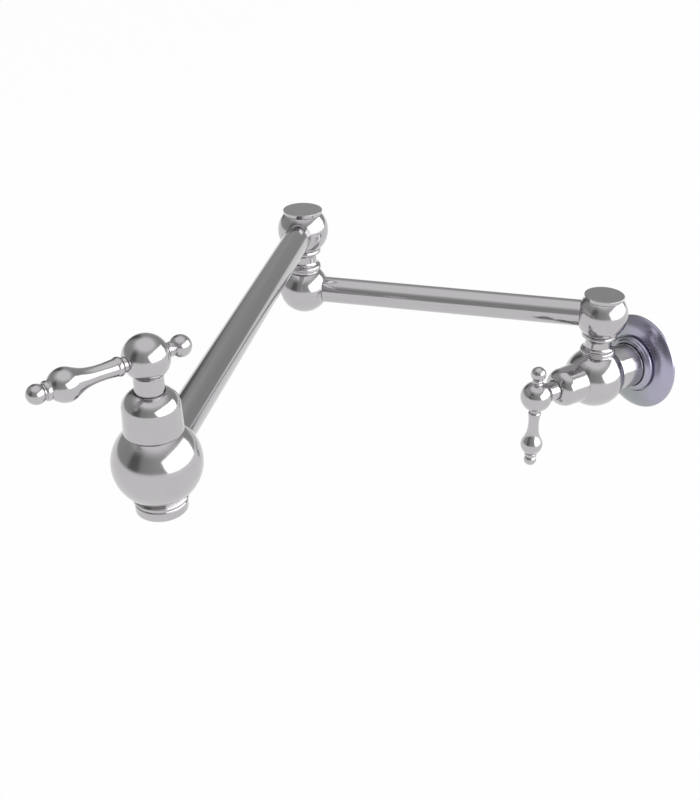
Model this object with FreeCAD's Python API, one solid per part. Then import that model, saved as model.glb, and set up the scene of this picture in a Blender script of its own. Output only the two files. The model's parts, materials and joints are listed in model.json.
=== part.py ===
import FreeCAD, Part
import math
import os

# A wall mounted pot filler: an inner arm and an outer arm that fold over each other,
# with a quarter-turn valve at the wall and another one over the spout.
#
# Millimetres. The origin is where the axis of the inlet meets the finished wall. The wall is
# the plane Y = 0, the object reaches out of it along -Y, +X is to the right of someone who
# faces the wall, and +Z is up.

V = FreeCAD.Vector
UP = V(0, 0, 1)
OUT = V(0, -1, 0)

# ---- Driving sizes ----

# Layout of the arms
wall_to_swivel = 45.7        # finished wall to the upright axis through the wall valve
inner_reach = 220.0          # wall swivel's axis to the elbow's axis
outer_reach = 314.3          # elbow's axis to the spout's axis
inner_arm_angle = -45.4      # way the inner arm points: 0 is straight out, more is to the right
outer_arm_angle = 46.7
spout_lever_angle = 7.0

# Clearances
running_gap = 0.05           # between pieces that turn on each other
seated_gap = 0.03            # between a piece and the seat that holds it
shadow_gap = 0.25            # around the neck of a handle where it enters its bonnet

edge = 0.4                   # how far a turned piece's edges are broken

# Balls and the round bosses on them
valve_ball_radius = 22.1
swivel_ball_radius = 18.35
boss_radius = 11.0
valve_boss_rise = 1.1        # how far a boss stands above the circle where it leaves its ball
elbow_boss_rise = 1.5
boss_fillet = 0.6
head_face = 13.4             # centre of a swivel's upper ball to the face under it
head_lip_radius = 12.5
head_lip = 0.55
socket_shoulder = 1.2        # metal between a gallery and the end of a tube's socket

# Arm tubes
arm_tube_radius = 9.5
arm_tube_wall = 2.0
arm_tenon_radius = 8.6       # turned-down end of a tube, inside its socket
arm_passage_radius = 6.0

# Swivel
spool_height = 16.35         # boss of the lower ball to the face under the upper ball
spool_ring_radius = 12.65
spool_ring = 3.3
spool_neck_radius = 9.4
post_bore_radius = 5.0
post_thread_radius = 9.0
post_floor = 1.2             # metal between a post's hole and the bore for the inlet's spigot
post_relief = 0.5            # free depth under a post
journal_radius = 8.0
gallery_radius = 10.6
gallery_low = -7.0           # gallery of a swivel, from the centre of its ball
gallery_high = 1.0
journal_top = 4.85
post_port_radius = 2.4
post_web = 5.2
washer_radius = 11.8
thrust_washer = 0.6
retainer_radius = 9.9
retainer = 1.2
screw_radius = 2.45
screw_grip = 4.0
screw_head_radius = 4.5
screw_head = 2.2
screw_key = 3.0

# Cap of a swivel
cap_radius = 14.15
cap_height = 2.8
cap_taper = 0.35
cap_overhang = 1.0           # how far a cap stands over the flat on its ball
cap_skirt = 3.0
cap_skirt_wall = 1.3
cap_top = 1.5

# O-rings
o_ring_wire = 1.5
stem_ring_wire = 1.2
outlet_ring_wire = 1.0
groove_slack = 0.5           # how much wider a groove is than its ring

# Valve cartridge
cartridge_radius = 9.3
cartridge_skirt_wall = 1.3
cartridge_seal = 2.4
disc_height = 2.8
disc_hub_radius = 2.2
disc_port_radius = 6.2
disc_port_angle = 76.0
disc_key = 1.2
disc_key_width = 3.0
seat_port_radius = 5.9
seat_web = 2.0
window_width = 8.0
window_height = 4.4
window_margin = 0.2          # chamber above the windows
chamber_radius = 10.8
chamber_rise = 1.0           # floor of the chamber above the cartridge's seat
stem_radius = 4.4
stem_foot = 2.4
stem_waist = 4.0             # open height over the foot, where water leaves by the windows
stem_square = 6.1
stem_collar = 2.5            # round of the stem above the hexagon
stem_below_hub = 5.2         # centre of the hub to the top of the stem
clip_radius = 6.0
clip = 0.8
clip_groove = 0.9
clip_mouth = 5.0
hex_flats = 20.0
hex_height = 4.0

# Bonnet over the cartridge
bonnet_radius = 14.4
bonnet_seat_radius = 13.3
bonnet_thread_radius = 12.0
bonnet_thread = 7.1
bonnet_skirt = 13.9
bonnet_height = 21.3
bonnet_taper = 0.45
bonnet_wall = 1.6
bonnet_cove_radius = 9.6

# Handle
neck_radius = 7.05
neck_entry = 0.9             # how far the neck reaches into the bonnet
handle_rise = 17.15          # top of the bonnet to the centre of the handle's ball
hub_ball_radius = 11.25
hub_fillet_radius = 8.0      # circle of the ball where the neck's fillet meets it
hub_fillet = 1.8
lever_collar_radius = 3.6
lever_stud_radius = 2.45
lever_bead_radius = 4.2      # at the foot of the bead, which swells a little more
lever_waist_radius = 3.82
lever_bulb_radius = 8.0
lever_bulb_to_tip = 17.8
lever_crown = 9.7            # widest place of the bulb to the end of the ring above it
lever_tip_radius = 4.6
lever_length = 57.7          # centre of the hub to the tip of the lever
finial_base_radius = 4.0
finial_stud_radius = 2.0
finial_neck_radius = 3.2
finial_ball_radius = 5.4
finial_reach = 18.1          # centre of the hub to the centre of the finial's ball
stud_depth = 6.0
stud_relief = 0.3            # free depth under a stud
spot_face_depth = 0.15
grub_radius = 2.0
grub_below_hub = 13.4

# Wall flange and inlet
flange_radius = 36.0
flange_rim = 1.8
flange_shoulder_radius = 21.9
flange_shoulder = 6.5
flange_height = 11.4
flange_wall = 2.6
flange_gap = 0.5             # around the shank
flange_groove = 0.8
flange_groove_depth = 1.3
flange_lip = 1.5             # rim outside the gasket
flange_hub_wall = 2.2
gasket_width = 4.5
gasket = 1.0
shank_radius = 16.5
shank_thread_radius = 9.3    # tapping radius of a half-inch pipe thread
shank_thread = 14.0
shank_bore_radius = 7.0
spigot_radius = 11.6
inlet_collar_radius = 17.9
inlet_collar_rise = 1.5
inlet_socket = 5.4           # how deep the shank's spigot enters the valve ball

# Outlet
outlet_boss_radius = 12.9
outlet_boss_rise = 0.4
outlet_socket = 5.2
outlet_ring_radius = 13.7
outlet_ring = 2.2
nozzle_radius = 13.0
nozzle = 6.55
nozzle_round = 1.2
nozzle_bore_radius = 9.9
nozzle_lip = 0.8
nozzle_lip_radius = 9.1
aerator_seal = 1.6
aerator_seal_bore = 7.4
insert_wall = 1.2
insert_floor = 1.2
insert_hole_radius = 0.9
insert_pitch = 2.7
screen = 0.6
screen_spacing = 2.2


# ---- Shapes ----

def turned(outline):
    """A solid turned about Z from an outline of (radius, height) points.

    A third number makes the side that ends at that point an arc, which stands that far off
    the straight line, to the right of the way the outline is drawn. A list of points is one
    smooth curve through them.
    """
    edges = []
    here = V(outline[0][0], 0, outline[0][1])
    for step in outline[1:] + outline[:1]:
        if isinstance(step, list):
            points = [here] + [V(r, 0, z) for r, z in step]
            curve = Part.BSplineCurve()
            curve.interpolate(points)
            edges.append(curve.toShape())
            here = points[-1]
            continue
        there = V(step[0], 0, step[1])
        if (there - here).Length < 1e-6:
            continue
        if len(step) == 3:
            run = there - here
            aside = V(run.z, 0, -run.x).normalize()
            middle = (here + there) * 0.5 + aside * step[2]
            edges.append(Part.Arc(here, middle, there).toShape())
        else:
            edges.append(Part.LineSegment(here, there).toShape())
        here = there
    return Part.Face(Part.Wire(edges)).revolve(V(0, 0, 0), UP, 360)


def rod(radius, low, high):
    return Part.makeCylinder(radius, high - low, V(0, 0, low), UP)


def ring(outer, inner, low, high):
    return rod(outer, low, high).cut(rod(inner, low - 1, high + 1))


def o_ring(floor, level, wire):
    """An O-ring that lies on the floor of a groove of this radius."""
    return Part.makeTorus(floor + wire / 2 + seated_gap, wire / 2 - seated_gap, V(0, 0, level), UP)


def groove(outer, level, wire):
    """What is turned away from a round of this outer radius to hold an O-ring."""
    half = (wire + groove_slack) / 2
    return ring(outer + 1, outer - wire, level - half, level + half)


def prism(flats, low, high, sides):
    """A regular prism along Z, given by the distance across its flats."""
    corner = flats / 2 / math.cos(math.pi / sides)
    turn = 2 * math.pi / sides
    points = [V(corner * math.cos((k + 0.5) * turn), corner * math.sin((k + 0.5) * turn), low)
              for k in range(sides)]
    return Part.Face(Part.makePolygon(points + points[:1])).extrude(V(0, 0, high - low))


def block(size_x, size_y, low, high, centre_x=0.0):
    return Part.makeBox(size_x, size_y, high - low, V(centre_x - size_x / 2, -size_y / 2, low))


def sector(outer, inner, low, high, angle, middle):
    """Part of a ring, centred on the direction middle, in degrees from X."""
    wedge = Part.makeCylinder(outer, high - low, V(0, 0, low), UP, angle)
    wedge.rotate(V(0, 0, 0), UP, middle - angle / 2)
    return wedge.cut(rod(inner, low - 1, high + 1))


def along(shape, direction, start=V(0, 0, 0)):
    """A copy of a shape made along Z that is turned to run along a direction."""
    turned_copy = shape.copy()
    turned_copy.Placement = FreeCAD.Placement(start, FreeCAD.Rotation(UP, direction))
    return turned_copy


def frame(origin, z_way, x_way):
    """A local frame: where its origin is, and which way its Z and X point."""
    y_way = z_way.cross(x_way)
    turn = FreeCAD.Rotation(x_way, y_way, z_way, "ZXY")
    return FreeCAD.Placement(origin, turn)


def save(name, place, *solids):
    """Write one sub-part, with its solids moved from their local frame to the object's."""
    moved = []
    for solid in solids:
        copy = solid.copy()
        copy.Placement = place.multiply(copy.Placement)
        moved.append(copy)
    shape = moved[0] if len(moved) == 1 else Part.makeCompound(moved)
    shape.exportStep("parts/" + name + ".step")


def on_ball(ball, circle):
    """How far from its centre a ball has a circle of this radius."""
    return math.sqrt(ball * ball - circle * circle)


def heading(angle):
    return V(math.sin(math.radians(angle)), -math.cos(math.radians(angle)), 0)


# ---- Sizes that follow ----

valve_boss = on_ball(valve_ball_radius, boss_radius) + valve_boss_rise
elbow_boss = on_ball(swivel_ball_radius, boss_radius) + elbow_boss_rise
post_hole = valve_boss - spigot_radius - post_floor
post_thread = post_hole - post_relief
head_above_post = spool_height + head_face
cap_seat = on_ball(swivel_ball_radius, cap_radius - cap_overhang)
journal_bore = journal_radius + running_gap
head_floor = journal_top - running_gap
bonnet_seat = on_ball(valve_ball_radius, bonnet_seat_radius)
bonnet_top = bonnet_seat + bonnet_height
hub_level = bonnet_top + handle_rise
cartridge_top = bonnet_seat + bonnet_thread
hex_top = cartridge_top + hex_height
inlet_face = on_ball(valve_ball_radius, inlet_collar_radius) + inlet_collar_rise
outlet_face = on_ball(valve_ball_radius, outlet_boss_radius) + outlet_boss_rise
spigot_floor = -inlet_face + inlet_socket
cartridge_seat = spigot_floor + seat_web
chamber_low = cartridge_seat + chamber_rise
disc_radius = cartridge_radius - cartridge_skirt_wall - running_gap
fixed_disc_low = cartridge_seat + cartridge_seal
turning_disc_low = fixed_disc_low + disc_height + running_gap
foot_low = turning_disc_low + disc_height
waist_low = foot_low + stem_foot
waist_top = waist_low + stem_waist
stem_square_start = hex_top + stem_collar
stem_top = hub_level - stem_below_hub
tube_end_in_swivel = gallery_radius + socket_shoulder
tube_end_in_valve = chamber_radius + socket_shoulder

inner_way = heading(inner_arm_angle)
outer_way = heading(outer_arm_angle)
lever_way = heading(spout_lever_angle)
wall_valve = V(0, -wall_to_swivel, 0)
wall_swivel = wall_valve + UP * (valve_boss + head_above_post)
elbow = wall_swivel + inner_way * inner_reach
elbow_swivel = elbow + UP * (elbow_boss + head_above_post)
spout_valve = elbow_swivel + outer_way * outer_reach


# ---- Shared features ----

def ball_with(ball, addition, face, way):
    """A ball, or a solid made from one, cut off at a face square to way, with a feature made along Z."""
    ball = ball.cut(along(rod(valve_ball_radius, face, 2 * valve_ball_radius), way))
    return ball.fuse(along(addition, way))


def boss(ball, face):
    """A round boss that rises along Z from a ball centred on the origin, with a fillet at its foot."""
    foot = boss_radius + boss_fillet
    foot_level = on_ball(ball, foot)
    return turned([(0, foot_level - 1), (foot, foot_level - 1), (foot, foot_level),
                   (boss_radius, foot_level + 1.3 * boss_fillet, -0.15), (boss_radius, face), (0, face)])


def post_socket(face):
    """Threaded hole for a swivel post in the face of a boss."""
    return rod(post_thread_radius, face - post_hole, face + 1)


def tube_shoulder(ball):
    """Where a tube's full width meets a ball, from the ball's centre."""
    return on_ball(ball, arm_tube_radius)


def tube_socket(end, ball):
    """Socket along X for an arm tube: a bore for its tenon and a spot face for its shoulder."""
    bore = rod(arm_tenon_radius + seated_gap, end, ball + 1)
    spot_face = rod(arm_tube_radius + seated_gap, tube_shoulder(ball), ball + 1)
    return along(bore.fuse(spot_face), V(1, 0, 0))


# ---- Swivel ----

def swivel_post():
    """Spool between two balls, and the journal that the upper ball turns on. Z = 0 is the lower boss."""
    top = spool_height - thrust_washer - running_gap
    rim = spool_ring_radius
    neck = spool_neck_radius
    thread = post_thread_radius - seated_gap
    journal_end = head_above_post + journal_top
    body = turned([
        (0, -post_thread), (thread, -post_thread), (thread, 0), (rim - edge, 0),
        (rim, 1.0), (rim - 0.4, 1.15), (rim - 0.1, 1.6), (rim - 0.9, spool_ring, 0.25),
        (neck, spool_ring + 3.4, -0.7), (neck, top - spool_ring - 2.6),
        (rim - 0.9, top - spool_ring + 0.2, -0.6), (rim, top - 1.5, 0.3), (rim - edge, top),
        (journal_radius, top), (journal_radius, journal_end), (0, journal_end)])
    port = head_above_post + (gallery_low + gallery_high) / 2
    water = rod(post_bore_radius, -post_thread - 1, journal_end - post_web)
    body = body.cut(water)
    for way in (V(1, 0, 0), V(0, 1, 0)):
        hole = along(rod(post_port_radius, -journal_radius - 1, journal_radius + 1), way, V(0, 0, port))
        body = body.cut(hole)
    body = body.cut(rod(screw_radius + seated_gap, journal_end - screw_grip - 0.3, journal_end + 1))
    for level in journal_ring_levels():
        body = body.cut(groove(journal_radius, level, o_ring_wire))
    return body.cut(groove(thread, post_seal_level(), o_ring_wire))


def journal_ring_levels():
    low = head_above_post + (gallery_low - head_face) / 2 - 0.3
    high = head_above_post + (gallery_high + head_floor) / 2
    return (low, high)


def post_seal_level():
    return -(o_ring_wire + groove_slack) / 2 - 0.6


def swivel_head():
    """Ball that turns on a post, with the arm's socket along X. Its centre is the origin."""
    ball = Part.makeSphere(swivel_ball_radius)
    ball = ball.cut(rod(swivel_ball_radius, cap_seat, swivel_ball_radius + 1))
    lip_start = head_face - head_lip
    cove = head_lip_radius - 0.3
    lip = turned([(0, lip_start - 1), (cove, lip_start - 1), (cove, lip_start),
                  (head_lip_radius, lip_start + 0.3, -0.06), (head_lip_radius, head_face), (0, head_face)])
    ball = ball_with(ball, lip, lip_start, -UP)
    ball = ball.cut(rod(journal_bore, -head_face - 1, swivel_ball_radius))
    ball = ball.cut(rod(gallery_radius, gallery_low, gallery_high))
    ball = ball.cut(rod(gallery_radius, head_floor, swivel_ball_radius))
    passage = along(rod(arm_passage_radius, gallery_radius - 1, swivel_ball_radius), V(1, 0, 0))
    level = rod(swivel_ball_radius, gallery_low, gallery_high)
    return ball.cut(tube_socket(tube_end_in_swivel, swivel_ball_radius)).cut(passage.common(level))


def swivel_cap():
    """Screwed cap that closes the top of a swivel's ball."""
    outer = gallery_radius - seated_gap
    inner = outer - cap_skirt_wall
    top = cap_seat + cap_height
    return turned([
        (inner, cap_seat - cap_skirt), (outer, cap_seat - cap_skirt), (outer, cap_seat),
        (cap_radius - cap_taper, cap_seat), (cap_radius, top - edge), (cap_radius - edge, top, 0.1),
        (0, top), (0, top - cap_top), (inner, top - cap_top)])


def retaining_screw():
    """Socket screw that holds a swivel's retaining washer, from the top of the post at Z = 0."""
    head_top = retainer + screw_head
    screw = rod(screw_radius, -screw_grip, retainer).fuse(rod(screw_head_radius, retainer, head_top))
    return screw.cut(prism(screw_key, retainer + screw_head / 2, head_top + 1, 6))


def make_swivel(name, boss_at, arm_way):
    """All the pieces of one swivel, which stands on a boss whose face is centred on boss_at."""
    post_frame = frame(boss_at, UP, V(1, 0, 0))
    head_frame = frame(boss_at + UP * head_above_post, UP, arm_way)
    journal_end = head_above_post + journal_top
    top_frame = frame(boss_at + UP * journal_end, UP, V(1, 0, 0))
    washer_low = spool_height - thrust_washer - running_gap
    save(name + "_post", post_frame, swivel_post())
    save(name + "_post_seal", post_frame,
         o_ring(post_thread_radius - seated_gap - o_ring_wire, post_seal_level(), o_ring_wire))
    save(name + "_o_rings", post_frame,
         *[o_ring(journal_radius - o_ring_wire, level, o_ring_wire) for level in journal_ring_levels()])
    save(name + "_thrust_washer", post_frame,
         ring(washer_radius, journal_radius + seated_gap, washer_low, washer_low + thrust_washer))
    save(name + "_retaining_washer", top_frame,
         ring(retainer_radius, screw_radius + seated_gap, 0, retainer))
    save(name + "_retaining_screw", top_frame, retaining_screw())
    save(name + "_head", head_frame, swivel_head())
    save(name + "_cap", head_frame, swivel_cap())


# ---- Valve ----

def valve_cavity():
    """Bore for the cartridge along Z, the chamber round its windows and the port under it."""
    bore = rod(cartridge_radius + seated_gap, cartridge_seat, cartridge_top + 1)
    chamber = rod(chamber_radius, chamber_low, waist_top)
    return bore.fuse(chamber)


def valve_ball():
    """Ball of a valve with the threaded neck that takes the bonnet and the cartridge."""
    ball = Part.makeSphere(valve_ball_radius)
    ball = ball.cut(rod(valve_ball_radius, bonnet_seat, valve_ball_radius + 1))
    return ball.fuse(rod(bonnet_thread_radius, bonnet_seat - 1, cartridge_top))


def wall_valve_body():
    """Valve ball at the wall: the inlet comes in from behind, and a swivel stands on it along X."""
    collar = rod(inlet_collar_radius, on_ball(valve_ball_radius, inlet_collar_radius) - 1, inlet_face)
    ball = ball_with(valve_ball(), collar, inlet_face, -UP)
    ball = ball_with(ball, boss(valve_ball_radius, valve_boss), valve_boss, V(1, 0, 0))
    ball = ball.cut(valve_cavity())
    ball = ball.cut(rod(spigot_radius + seated_gap, -inlet_face - 1, spigot_floor))
    ball = ball.cut(rod(seat_port_radius, spigot_floor - 1, cartridge_seat + 1))
    ball = ball.cut(along(post_socket(valve_boss), V(1, 0, 0)))
    passage = along(rod(post_bore_radius, 0, valve_boss), V(1, 0, 0))
    return ball.cut(passage.common(rod(valve_ball_radius, chamber_low, waist_top)))


def spout_valve_body():
    """Valve ball over the spout: the arm comes in along X, and the outlet points along -Z."""
    rim = rod(outlet_boss_radius, on_ball(valve_ball_radius, outlet_boss_radius) - 1, outlet_face)
    ball = ball_with(valve_ball(), rim, outlet_face, -UP)
    socket_floor = -outlet_face + outlet_socket
    ball = ball.cut(valve_cavity())
    ball = ball.cut(rod(spigot_radius + seated_gap, -outlet_face - 1, socket_floor))
    ball = ball.cut(rod(seat_port_radius, socket_floor - 1, cartridge_seat + 1))
    passage = along(rod(arm_passage_radius, 0, valve_ball_radius), V(1, 0, 0))
    level = rod(valve_ball_radius, chamber_low, waist_top)
    return ball.cut(tube_socket(tube_end_in_valve, valve_ball_radius)).cut(passage.common(level))


def disc_ports(low, high, middle):
    """The two ports through a disc, the first one centred on the direction middle."""
    one, other = [sector(disc_port_radius, disc_hub_radius, low, high, disc_port_angle, way)
                  for way in (middle, middle + 180)]
    return one.fuse(other)


def disc_keys(low, high, gap, middle):
    """The two keys by which the stem's foot turns its disc."""
    reach = disc_radius - disc_port_radius + 0.6
    keys = []
    for side in (1, -1):
        centre = side * (disc_radius - reach / 2)
        key = block(reach + gap, disc_key_width + 2 * gap, low, high, centre)
        key = key.common(rod(disc_radius - 2 * running_gap, low, high))
        key.rotate(V(0, 0, 0), UP, middle)
        keys.append(key)
    return keys


def cartridge_body():
    """Brass body of the cartridge: skirt round the discs, windows, bore for the stem and hexagon."""
    skirt_bore = disc_radius + running_gap
    body = turned([
        (skirt_bore, cartridge_seat + 0.5), (cartridge_radius, cartridge_seat + 0.5),
        (cartridge_radius, cartridge_top), (stem_radius + running_gap, cartridge_top),
        (stem_radius + running_gap, waist_top), (skirt_bore, waist_top)])
    body = body.cut(groove(cartridge_radius, cartridge_ring_level(), o_ring_wire))
    window_low = waist_top - window_height
    body = body.cut(block(3 * cartridge_radius, window_width, window_low, waist_top - window_margin))
    hexagon = prism(hex_flats, cartridge_top, hex_top, 6)
    return body.fuse(hexagon.cut(rod(stem_radius + running_gap, 0, hex_top + 1)))


def cartridge_ring_level():
    return (waist_top + cartridge_top) / 2


def stem_ring_levels():
    third = (hex_top - waist_top) / 3
    return (waist_top + third, waist_top + 2 * third)


def valve_stem():
    """Stem that turns the upper disc, with its foot below and the square for the handle on top."""
    foot = rod(disc_radius, foot_low, waist_low).cut(disc_ports(foot_low - 1, waist_low + 1, 90))
    stem = foot.fuse(rod(stem_radius, foot_low, stem_square_start))
    stem = stem.fuse(prism(stem_square, stem_square_start - 1, stem_top, 4))
    for key in disc_keys(foot_low - disc_key, foot_low + 1, 0, 0):
        stem = stem.fuse(key)
    for level in stem_ring_levels():
        stem = stem.cut(groove(stem_radius, level, stem_ring_wire))
    clip_low = hex_top + running_gap
    clip_high = clip_low + clip + running_gap
    return stem.cut(ring(stem_radius + 1, stem_radius - clip_groove, clip_low, clip_high))


def turning_disc():
    disc = rod(disc_radius - running_gap, turning_disc_low, foot_low)
    disc = disc.cut(disc_ports(turning_disc_low - 1, foot_low + 1, 90))
    for key in disc_keys(foot_low - disc_key - running_gap, foot_low + 1, running_gap, 0):
        disc = disc.cut(key)
    return disc


def fixed_disc():
    disc = rod(disc_radius, fixed_disc_low, fixed_disc_low + disc_height)
    return disc.cut(disc_ports(fixed_disc_low - 1, fixed_disc_low + disc_height + 1, 0))


def stem_clip():
    low = hex_top + running_gap
    clip_ring = ring(clip_radius, stem_radius - clip_groove + seated_gap, low, low + clip)
    mouth = block(clip_radius, clip_mouth, low - 1, low + clip + 1, clip_radius / 2 + clip_radius / 4)
    return clip_ring.cut(mouth)


def bonnet():
    """Cover over the cartridge: a tapered skirt, a dome and a small cove round the handle's neck."""
    bore = bonnet_thread_radius + seated_gap
    mouth = neck_radius + shadow_gap
    skirt_top = bonnet_seat + bonnet_skirt
    shoulder = bonnet_radius - bonnet_taper
    cove = bonnet_top - 1.6
    return turned([
        (bore, bonnet_seat), (bonnet_radius - edge, bonnet_seat), (bonnet_radius, bonnet_seat + edge),
        (shoulder, skirt_top), (bonnet_cove_radius, cove, 1.05), (mouth + 0.6, bonnet_top, -0.36),
        (mouth, bonnet_top), (mouth, cove - bonnet_wall + 0.4),
        (bore, skirt_top - 0.5, -0.9)])


def handle_hub():
    """Ball of the handle on its neck. The hub's centre is the origin, and the lever leaves along X."""
    neck_low = -(handle_rise + neck_entry)
    fillet_top = -on_ball(hub_ball_radius, hub_fillet_radius)
    hub = turned([
        (0, neck_low), (neck_radius - 0.3, neck_low), (neck_radius, neck_low + 0.3),
        (neck_radius, fillet_top - hub_fillet), (hub_fillet_radius, fillet_top, -0.25),
        (hub_fillet_radius - 1, fillet_top + 1), (0, fillet_top + 1)])
    hub = hub.fuse(Part.makeSphere(hub_ball_radius))
    hub = hub.cut(prism(stem_square + 2 * seated_gap, neck_low - 1, -stem_below_hub + stud_relief, 4))
    lever_side = V(1, 0, 0)
    hub = hub.cut(along(stud_hole(lever_collar_radius, lever_stud_radius, lever_face()), lever_side))
    hub = hub.cut(along(stud_hole(finial_base_radius, finial_stud_radius, finial_face()), -lever_side))
    screw_hole = rod(grub_radius + seated_gap, stem_square / 2 - 1, neck_radius + 2)
    return hub.cut(along(screw_hole, V(0, -1, 0), V(0, 0, -grub_below_hub)))


def stud_hole(collar, stud, seat):
    """Spot face for a collar and the threaded hole for the stud behind it."""
    spot_face = rod(collar + seated_gap, seat, 2 * hub_ball_radius)
    return spot_face.fuse(rod(stud + seated_gap, seat - stud_depth - stud_relief, seat + 1))


def lever_face():
    return on_ball(hub_ball_radius, lever_collar_radius) - spot_face_depth


def finial_face():
    return on_ball(hub_ball_radius, finial_base_radius) - spot_face_depth


def lever():
    """Turned lever along Z, from the centre of the hub: collar, bead, waist, bulb, ring and ball tip."""
    seat = lever_face()
    collar = lever_collar_radius
    bead = lever_bead_radius
    waist = lever_waist_radius
    bulb = lever_bulb_radius
    bead_end = seat + 5.1
    bulb_level = lever_length - lever_bulb_to_tip
    rise = bulb_level - bead_end
    neck = collar
    ring_end = bulb_level + lever_crown
    tip_centre = lever_length - lever_tip_radius
    shaft = turned([
        (0, seat - stud_depth), (lever_stud_radius, seat - stud_depth), (lever_stud_radius, seat),
        (collar, seat), (collar, seat + 1.8), (bead - 0.3, seat + 1.9), (bead, bead_end, 0.6),
        [(waist + 0.2, bead_end + 0.1 * rise), (waist, bead_end + 0.24 * rise),
         (waist + 0.1, bead_end + 0.4 * rise), (waist + 0.5, bead_end + 0.54 * rise),
         (waist + 1.3, bead_end + 0.67 * rise), (bulb - 1.6, bead_end + 0.79 * rise),
         (bulb - 0.4, bead_end + 0.9 * rise), (bulb, bulb_level), (bulb - 0.5, bulb_level + 2.7),
         (bulb - 1.8, bulb_level + 5.1), (bead + 0.5, bulb_level + 6.7)],
        (bead + 0.1, bulb_level + 7.3), (bead - 0.05, ring_end, 0.35), (neck, ring_end),
        (neck, tip_centre), (0, tip_centre)])
    return shaft.fuse(Part.makeSphere(lever_tip_radius, V(0, 0, tip_centre)))


def finial():
    """Small ball on a flared neck, along Z from the centre of the hub."""
    seat = finial_face()
    reach = finial_reach
    ball = Part.makeSphere(finial_ball_radius, V(0, 0, reach))
    neck_end = reach - on_ball(finial_ball_radius, finial_neck_radius)
    neck = turned([
        (0, seat - stud_depth), (finial_stud_radius, seat - stud_depth), (finial_stud_radius, seat),
        (finial_base_radius, seat), (finial_base_radius, seat + 0.5),
        (finial_neck_radius + 0.35, neck_end - 0.9, -0.25), (finial_neck_radius, neck_end - 0.4),
        (finial_neck_radius, neck_end + 0.2), (0, neck_end + 0.2)])
    return neck.fuse(ball)


def grub_screw():
    start = stem_square / 2 + seated_gap
    screw = rod(grub_radius, start, neck_radius - 0.3)
    return screw.cut(prism(1.8, neck_radius - 2.0, neck_radius, 6))


def make_valve_works(name, place, handle_place):
    """Cartridge and handle of one valve. Z of both frames points to the handle, X to the lever."""
    save(name + "_cartridge_seal", place,
         ring(disc_radius, seat_port_radius, cartridge_seat, fixed_disc_low))
    save(name + "_fixed_disc", place, fixed_disc())
    save(name + "_turning_disc", place, turning_disc())
    save(name + "_cartridge", place, cartridge_body())
    save(name + "_cartridge_o_ring", place,
         o_ring(cartridge_radius - o_ring_wire, cartridge_ring_level(), o_ring_wire))
    save(name + "_stem", place, valve_stem())
    save(name + "_stem_o_rings", place,
         *[o_ring(stem_radius - stem_ring_wire, level, stem_ring_wire) for level in stem_ring_levels()])
    save(name + "_stem_clip", place, stem_clip())
    save(name + "_bonnet", place, bonnet())
    save(name + "_handle_hub", handle_place, handle_hub())
    save(name + "_handle_lever", handle_place, along(lever(), V(1, 0, 0)))
    save(name + "_handle_finial", handle_place, along(finial(), V(-1, 0, 0)))
    save(name + "_handle_grub_screw", handle_place,
         along(grub_screw(), V(0, -1, 0), V(0, 0, -grub_below_hub)))


# ---- Wall ----

def flange():
    """Dished wall plate with a raised hub round the shank. Z = 0 is the wall."""
    bore = shank_radius + flange_gap
    hub = bore + flange_hub_wall
    groove_floor = flange_shoulder - flange_groove_depth
    shoulder = flange_shoulder_radius
    step = hub + 0.9
    seat = flange_radius - flange_lip
    plate = turned([
        (bore, 0), (hub, 0), (hub, flange_shoulder - flange_wall),
        (shoulder, flange_shoulder - flange_wall), (seat - 3.0, gasket + 0.9, -0.7),
        (seat - 3.0, gasket), (seat, gasket), (seat, 0),
        (flange_radius, 0), (flange_radius, flange_rim), (shoulder, flange_shoulder, 1.5),
        (shoulder, groove_floor), (shoulder - flange_groove, groove_floor),
        (shoulder - flange_groove, flange_shoulder),
        (step, flange_height - 2.0, 0.5), (step - 0.5, flange_height - 1.9),
        (bore + 0.3, flange_height, 0.3), (bore, flange_height)])
    half = (o_ring_wire + groove_slack) / 2
    level = flange_ring_level()
    return plate.cut(rod(shank_radius + o_ring_wire + seated_gap, level - half, level + half))


def flange_ring_level():
    return flange_shoulder / 2


def inlet_shank():
    """Turned inlet: screws on to the supply in the wall, passes the flange and enters the valve ball."""
    shoulder = wall_to_swivel - inlet_face
    end = wall_to_swivel + spigot_floor - running_gap
    shank = turned([
        (shank_thread_radius, 0), (shank_radius - edge, 0), (shank_radius, edge), (shank_radius, shoulder),
        (spigot_radius, shoulder), (spigot_radius, end), (shank_bore_radius, end),
        (shank_bore_radius, shank_thread), (shank_thread_radius, shank_thread)])
    return shank.cut(groove(spigot_radius, inlet_seal_level(), o_ring_wire))


def inlet_seal_level():
    return wall_to_swivel - inlet_face + o_ring_wire


def make_wall_set():
    place = frame(V(0, 0, 0), OUT, V(1, 0, 0))
    save("wall_flange", place, flange())
    seat = flange_radius - flange_lip - seated_gap
    save("wall_gasket", place, ring(seat, seat - gasket_width, 0, gasket))
    save("flange_o_ring", place, o_ring(shank_radius, flange_ring_level(), o_ring_wire))
    save("inlet_shank", place, inlet_shank())
    save("inlet_seal", place, o_ring(spigot_radius - o_ring_wire, inlet_seal_level(), o_ring_wire))


# ---- Arms ----

def arm_tube(reach, near_ball, near_end, far_ball, far_end):
    """Tube along Z between the sockets of two balls that are reach apart, with a tenon at each end."""
    near = tube_shoulder(near_ball) + seated_gap
    far = reach - tube_shoulder(far_ball) - seated_gap
    tenons = rod(arm_tenon_radius, near_end + seated_gap, reach - far_end - seated_gap)
    tube = rod(arm_tube_radius, near, far).fuse(tenons)
    return tube.cut(rod(arm_tube_radius - arm_tube_wall, 0, reach))


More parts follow.
